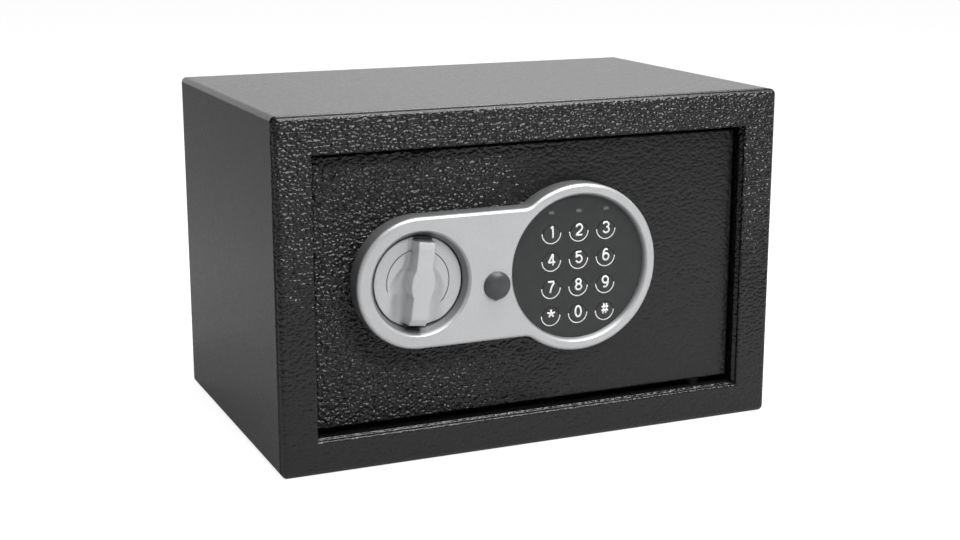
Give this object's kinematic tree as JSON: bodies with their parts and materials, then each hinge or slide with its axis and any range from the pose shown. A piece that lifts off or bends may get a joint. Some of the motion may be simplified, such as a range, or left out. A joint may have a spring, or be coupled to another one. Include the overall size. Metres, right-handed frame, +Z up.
{
  "type": "small electronic safe",
  "caption": "Steel home safe with a recessed hinged door, turn knob, round keypad, keyed override, sliding bolts and anchor holes.",
  "frame": {"origin": "middle of the underside of the cabinet", "axes": "+X right as seen from the front, +Y from the door to the back, +Z up"},
  "size_m": [0.31, 0.2069, 0.2],
  "materials": {
    "powder_coat": "pebbled black powder coat",
    "bright_steel": "bright zinc-plated steel",
    "plated_steel": "plain plated pressings",
    "felt": "thin black felt",
    "silver_plastic": "satin silver paint on moulded plastic",
    "keypad_face": "dark grey matt face",
    "key_rubber": "dark satin keys",
    "window": "smoked window",
    "silicone": "grey silicone",
    "circuit_board": "green solder mask",
    "coil_winding": "enamelled winding",
    "black_plastic": "moulded black plastic",
    "cell_wrap": "plain green cell wrap",
    "wire_skin": "red wire insulation",
    "lock_brass": "turned brass",
    "plug_rubber": "glossy dark grey rubber",
    "red_button": "red"
  },
  "bodies": {
    "cabinet": {"body_shell": "powder_coat", "front_frame": "powder_coat", "back_panel": "powder_coat", "hinge_bracket_lower": "powder_coat", "hinge_bracket_upper": "powder_coat", "hinge_pin_lower": "bright_steel", "hinge_pin_upper": "bright_steel", "hinge_washer": "black_plastic", "door_stops": "powder_coat", "floor_mat": "felt"},
    "door": {"door_panel": "powder_coat", "hinge_ear_lower": "powder_coat", "hinge_ear_upper": "powder_coat", "bezel": "silver_plastic", "bezel_screws": "bright_steel", "keypad_plate": "keypad_face", "status_windows": "window", "key_mat": "silicone", "keypad_board": "circuit_board", "keypad_screws": "bright_steel", "lock_housing": "plated_steel", "lock_nut": "plated_steel", "solenoid_bracket": "plated_steel", "solenoid_frame": "plated_steel", "solenoid_coil": "coil_winding", "bolt_guide": "plated_steel", "guide_posts": "bright_steel", "inner_cover": "powder_coat", "cover_screws": "bright_steel", "battery_tray": "black_plastic", "batteries": "cell_wrap", "battery_contacts": "bright_steel", "wiring": "wire_skin", "reset_switch": "black_plastic"},
    "knob": {"knob": "silver_plastic", "spindle": "bright_steel", "crank": "plated_steel", "crank_screw": "bright_steel"},
    "boltwork": {"bolt_carriage": "plated_steel", "upper_bolt": "bright_steel", "lower_bolt": "bright_steel"},
    "plunger": {"plunger": "bright_steel", "plunger_spring": "bright_steel"},
    "override_lock": {"lock_core": "lock_brass", "lock_cam": "bright_steel"},
    "keyhole_plug": {"keyhole_plug": "plug_rubber"},
    "battery_lid": {"battery_lid": "powder_coat"},
    "reset_button": {"reset_button": "red_button"},
    "key_1": {"key_1": "key_rubber"},
    "key_2": {"key_2": "key_rubber"},
    "key_3": {"key_3": "key_rubber"},
    "key_4": {"key_4": "key_rubber"},
    "key_5": {"key_5": "key_rubber"},
    "key_6": {"key_6": "key_rubber"},
    "key_7": {"key_7": "key_rubber"},
    "key_8": {"key_8": "key_rubber"},
    "key_9": {"key_9": "key_rubber"},
    "key_star": {"key_star": "key_rubber"},
    "key_0": {"key_0": "key_rubber"},
    "key_hash": {"key_hash": "key_rubber"}
  },
  "joints": [
    {"name": "door_hinge", "type": "hinge", "parent": "cabinet", "child": "door", "pos_m": [0.112, -0.083, 0.0235], "axis": [0, 0, 1], "range_deg": [0, 105]},
    {"name": "knob_turn", "type": "hinge", "parent": "door", "child": "knob", "pos_m": [-0.074, -0.091, 0.104], "axis": [0, -1, 0], "range_deg": [0, 60]},
    {"name": "bolt_throw", "type": "slide", "parent": "door", "child": "boltwork", "axis": [-1, 0, 0], "range_m": [0, 0.015]},
    {"name": "lock_turn", "type": "hinge", "parent": "door", "child": "override_lock", "pos_m": [-0.0285, -0.091, 0.0987], "axis": [0, -1, 0], "range_deg": [0, 90]},
    {"name": "plunger_lift", "type": "slide", "parent": "door", "child": "plunger", "axis": [0, 0, 1], "range_m": [0, 0.003], "stiffness_N_per_m": 60, "springref_m": -0.002, "deforming": ["plunger_spring"]},
    {"name": "plug_pull", "type": "slide", "parent": "door", "child": "keyhole_plug", "axis": [0, -1, 0], "range_m": [0, 0.012]},
    {"name": "battery_lid_pull", "type": "slide", "parent": "door", "child": "battery_lid", "axis": [0, 1, 0], "range_m": [0, 0.02]},
    {"name": "reset_press", "type": "slide", "parent": "door", "child": "reset_button", "axis": [0, -1, 0], "range_m": [0, 0.0015], "stiffness_N_per_m": 200},
    {"name": "key_1_press", "type": "slide", "parent": "door", "child": "key_1", "axis": [0, 1, 0], "range_m": [0, 0.001], "stiffness_N_per_m": 300},
    {"name": "key_2_press", "type": "slide", "parent": "door", "child": "key_2", "axis": [0, 1, 0], "range_m": [0, 0.001], "stiffness_N_per_m": 300},
    {"name": "key_3_press", "type": "slide", "parent": "door", "child": "key_3", "axis": [0, 1, 0], "range_m": [0, 0.001], "stiffness_N_per_m": 300},
    {"name": "key_4_press", "type": "slide", "parent": "door", "child": "key_4", "axis": [0, 1, 0], "range_m": [0, 0.001], "stiffness_N_per_m": 300},
    {"name": "key_5_press", "type": "slide", "parent": "door", "child": "key_5", "axis": [0, 1, 0], "range_m": [0, 0.001], "stiffness_N_per_m": 300},
    {"name": "key_6_press", "type": "slide", "parent": "door", "child": "key_6", "axis": [0, 1, 0], "range_m": [0, 0.001], "stiffness_N_per_m": 300},
    {"name": "key_7_press", "type": "slide", "parent": "door", "child": "key_7", "axis": [0, 1, 0], "range_m": [0, 0.001], "stiffness_N_per_m": 300},
    {"name": "key_8_press", "type": "slide", "parent": "door", "child": "key_8", "axis": [0, 1, 0], "range_m": [0, 0.001], "stiffness_N_per_m": 300},
    {"name": "key_9_press", "type": "slide", "parent": "door", "child": "key_9", "axis": [0, 1, 0], "range_m": [0, 0.001], "stiffness_N_per_m": 300},
    {"name": "key_star_press", "type": "slide", "parent": "door", "child": "key_star", "axis": [0, 1, 0], "range_m": [0, 0.001], "stiffness_N_per_m": 300},
    {"name": "key_0_press", "type": "slide", "parent": "door", "child": "key_0", "axis": [0, 1, 0], "range_m": [0, 0.001], "stiffness_N_per_m": 300},
    {"name": "key_hash_press", "type": "slide", "parent": "door", "child": "key_hash", "axis": [0, 1, 0], "range_m": [0, 0.001], "stiffness_N_per_m": 300}
  ],
  "couplings": [
    {"joint": "knob_turn", "follows": "bolt_throw", "rad_per_m": 69.813},
    {"joint": "lock_turn", "follows": "plunger_lift", "rad_per_m": 523.6}
  ]
}
